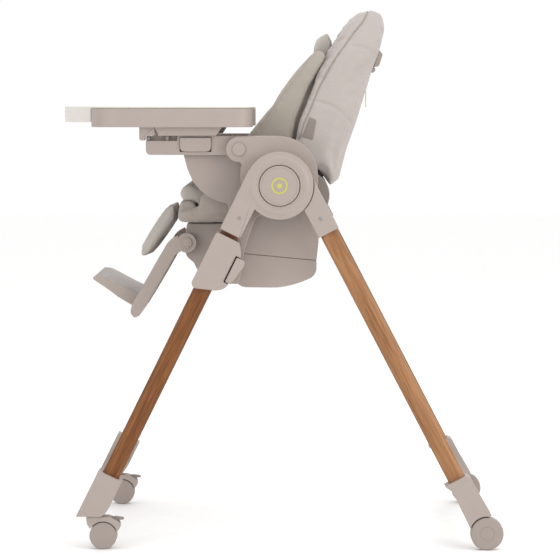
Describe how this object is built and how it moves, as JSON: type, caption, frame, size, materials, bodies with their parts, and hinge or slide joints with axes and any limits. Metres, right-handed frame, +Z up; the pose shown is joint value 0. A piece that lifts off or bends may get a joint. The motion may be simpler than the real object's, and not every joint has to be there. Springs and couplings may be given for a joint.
{
  "type": "baby high chair",
  "caption": "Folding baby high chair with splayed wooden legs, castors, reclining padded seat, sliding tray and lift-up leg rest.",
  "frame": {"origin": "on the floor, in the middle of the whole chair's bounding box", "axes": "the chair faces -X, its left side is at -Y, +Z is up"},
  "size_m": [0.8764, 0.5736, 1.0627],
  "materials": {
    "body_plastic": "warm greige moulded plastic, fine satin texture",
    "shade_plastic": "slightly darker greige moulded plastic",
    "tray_plastic": "pale warm grey plastic, easy-wipe satin",
    "front_wood": "walnut-brown wood, satin lacquer, grain along the leg",
    "rear_wood": "walnut-brown wood, satin lacquer, grain along the leg",
    "steel": "bright steel",
    "backrest_fabric": "woven greige fabric with piping",
    "seat_fabric": "woven greige fabric, darker",
    "liner_fabric": "soft light grey-green woven fabric",
    "webbing": "woven webbing"
  },
  "bodies": {
    "front_frame": {"front_leg_l": "front_wood", "front_leg_r": "front_wood", "front_hub_l": "body_plastic", "front_hub_r": "body_plastic", "front_foot_l": "body_plastic", "front_foot_r": "body_plastic", "front_crossbar": "body_plastic"},
    "rear_frame": {"rear_leg_l": "rear_wood", "rear_leg_r": "rear_wood", "rear_hub_l": "body_plastic", "rear_hub_r": "body_plastic", "rear_foot_l": "body_plastic", "rear_foot_r": "body_plastic", "rear_crossbar": "body_plastic", "rear_axle_l": "steel", "rear_axle_r": "steel"},
    "seat": {"seat_shell": "body_plastic", "seat_base": "body_plastic", "carriage_plate_l": "body_plastic", "carriage_plate_r": "body_plastic", "height_slider_l": "body_plastic", "height_slider_r": "body_plastic", "arm_pin_l": "body_plastic", "arm_pin_r": "body_plastic", "recline_axle": "steel", "legrest_axle": "steel", "seat_cover": "seat_fabric", "seat_cushion": "liner_fabric", "crotch_strap": "webbing", "harness_buckle": "shade_plastic"},
    "buckle_button": {"buckle_button": "body_plastic"},
    "backrest": {"backrest_cover": "backrest_fabric", "backrest_frame": "shade_plastic", "liner": "liner_fabric", "head_pillow": "liner_fabric", "shoulder_strap_l": "webbing", "shoulder_strap_r": "webbing"},
    "recline_lever": {"recline_lever": "shade_plastic"},
    "pull_cord": {"pull_cord": "webbing"},
    "legrest": {"legrest_frame": "body_plastic"},
    "footplate": {"footplate": "body_plastic"},
    "calf_pad": {"calf_pad": "liner_fabric"},
    "tray": {"tray_base": "body_plastic"},
    "tray_insert": {"tray_insert": "tray_plastic"},
    "fold_button_l": {"fold_button_l": "body_plastic"},
    "height_trigger_l": {"height_trigger_l": "body_plastic"},
    "tray_arm_l": {"tray_arm_l": "body_plastic"},
    "tray_button_l": {"tray_button_l": "body_plastic"},
    "castor_l": {"castor_hood_l": "body_plastic"},
    "castor_wheels_l": {"castor_wheel_l": "body_plastic"},
    "castor_brake_l": {"castor_brake_l": "shade_plastic"},
    "rear_wheel_l": {"rear_wheel_l": "body_plastic"},
    "fold_button_r": {"fold_button_r": "body_plastic"},
    "height_trigger_r": {"height_trigger_r": "body_plastic"},
    "tray_arm_r": {"tray_arm_r": "body_plastic"},
    "tray_button_r": {"tray_button_r": "body_plastic"},
    "castor_r": {"castor_hood_r": "body_plastic"},
    "castor_wheels_r": {"castor_wheel_r": "body_plastic"},
    "castor_brake_r": {"castor_brake_r": "shade_plastic"},
    "rear_wheel_r": {"rear_wheel_r": "body_plastic"}
  },
  "joints": [
    {"name": "frame_fold", "type": "hinge", "parent": "front_frame", "child": "rear_frame", "pos_m": [-0.002, 0, 0.716], "axis": [0, 1, 0], "range_deg": [0, 48]},
    {"name": "seat_height", "type": "slide", "parent": "front_frame", "child": "seat", "axis": [-0.4431, 0, -0.8965], "range_m": [0, 0.28]},
    {"name": "recline", "type": "hinge", "parent": "seat", "child": "backrest", "pos_m": [0.0495, 0, 0.6935], "axis": [0, 1, 0], "range_deg": [0, 58]},
    {"name": "recline_lever_pull", "type": "hinge", "parent": "backrest", "child": "recline_lever", "pos_m": [0.199, 0, 0.979], "axis": [0, -1, 0], "range_deg": [0, 20], "stiffness_Nm_per_rad": 0.4},
    {"name": "pull_cord_swing", "type": "hinge", "parent": "backrest", "child": "pull_cord", "pos_m": [0.1745, 0, 0.919], "axis": [0, 1, 0], "range_deg": [-60, 0]},
    {"name": "legrest_lift", "type": "hinge", "parent": "seat", "child": "legrest", "pos_m": [-0.188, 0, 0.598], "axis": [0, 1, 0], "range_deg": [0, 50]},
    {"name": "calf_pad_lift", "type": "hinge", "parent": "seat", "child": "calf_pad", "pos_m": [-0.2155, 0, 0.667], "axis": [0, 1, 0], "range_deg": [0, 44]},
    {"name": "footplate_pull", "type": "slide", "parent": "legrest", "child": "footplate", "axis": [-0.8682, 0, 0.4961], "range_m": [0, 0.05]},
    {"name": "buckle_press", "type": "slide", "parent": "seat", "child": "buckle_button", "axis": [0.889, 0, -0.458], "range_m": [0, 0.002], "stiffness_N_per_m": 600},
    {"name": "tray_slide", "type": "slide", "parent": "seat", "child": "tray", "axis": [-1, 0, 0], "range_m": [0, 0.075]},
    {"name": "tray_insert_lift", "type": "slide", "parent": "tray", "child": "tray_insert", "axis": [0, 0, 1], "range_m": [0, 0.06]},
    {"name": "fold_button_press_l", "type": "slide", "parent": "front_frame", "child": "fold_button_l", "axis": [0, 1, 0], "range_m": [0, 0.004], "stiffness_N_per_m": 800},
    {"name": "height_trigger_press_l", "type": "slide", "parent": "seat", "child": "height_trigger_l", "axis": [-0.8965, 0, 0.4431], "range_m": [0, 0.0025], "stiffness_N_per_m": 600},
    {"name": "tray_arm_drop_l", "type": "hinge", "parent": "seat", "child": "tray_arm_l", "pos_m": [-0.0814, 0, 0.786], "axis": [0, -1, 0], "range_deg": [0, 80]},
    {"name": "tray_button_press_l", "type": "slide", "parent": "tray_arm_l", "child": "tray_button_l", "axis": [0, 1, 0], "range_m": [0, 0.003], "stiffness_N_per_m": 500},
    {"name": "castor_swivel_l", "type": "hinge", "parent": "front_frame", "child": "castor_l", "pos_m": [-0.368, -0.256, 0.065], "axis": [0, 0, 1], "continuous": true},
    {"name": "castor_roll_l", "type": "hinge", "parent": "castor_l", "child": "castor_wheels_l", "pos_m": [-0.3495, -0.256, 0.027], "axis": [0, 1, 0], "continuous": true},
    {"name": "castor_brake_press_l", "type": "hinge", "parent": "castor_l", "child": "castor_brake_l", "pos_m": [-0.328, -0.256, 0.058], "axis": [0, 1, 0], "range_deg": [0, 15]},
    {"name": "rear_wheel_roll_l", "type": "hinge", "parent": "rear_frame", "child": "rear_wheel_l", "pos_m": [0.4057, -0.27, 0.0325], "axis": [0, 1, 0], "continuous": true},
    {"name": "fold_button_press_r", "type": "slide", "parent": "front_frame", "child": "fold_button_r", "axis": [0, -1, 0], "range_m": [0, 0.004], "stiffness_N_per_m": 800},
    {"name": "height_trigger_press_r", "type": "slide", "parent": "seat", "child": "height_trigger_r", "axis": [-0.8965, 0, 0.4431], "range_m": [0, 0.0025], "stiffness_N_per_m": 600},
    {"name": "tray_arm_drop_r", "type": "hinge", "parent": "seat", "child": "tray_arm_r", "pos_m": [-0.0814, 0, 0.786], "axis": [0, 1, 0], "range_deg": [-80, 0]},
    {"name": "tray_button_press_r", "type": "slide", "parent": "tray_arm_r", "child": "tray_button_r", "axis": [0, -1, 0], "range_m": [0, 0.003], "stiffness_N_per_m": 500},
    {"name": "castor_swivel_r", "type": "hinge", "parent": "front_frame", "child": "castor_r", "pos_m": [-0.368, 0.256, 0.065], "axis": [0, 0, 1], "continuous": true},
    {"name": "castor_roll_r", "type": "hinge", "parent": "castor_r", "child": "castor_wheels_r", "pos_m": [-0.3495, 0.256, 0.027], "axis": [0, 1, 0], "continuous": true},
    {"name": "castor_brake_press_r", "type": "hinge", "parent": "castor_r", "child": "castor_brake_r", "pos_m": [-0.328, 0.256, 0.058], "axis": [0, 1, 0], "range_deg": [0, 15]},
    {"name": "rear_wheel_roll_r", "type": "hinge", "parent": "rear_frame", "child": "rear_wheel_r", "pos_m": [0.4057, 0.27, 0.0325], "axis": [0, 1, 0], "continuous": true}
  ],
  "couplings": [
    {"joint": "pull_cord_swing", "follows": "recline", "ratio": -1},
    {"joint": "calf_pad_lift", "follows": "legrest_lift", "ratio": 0.86}
  ]
}
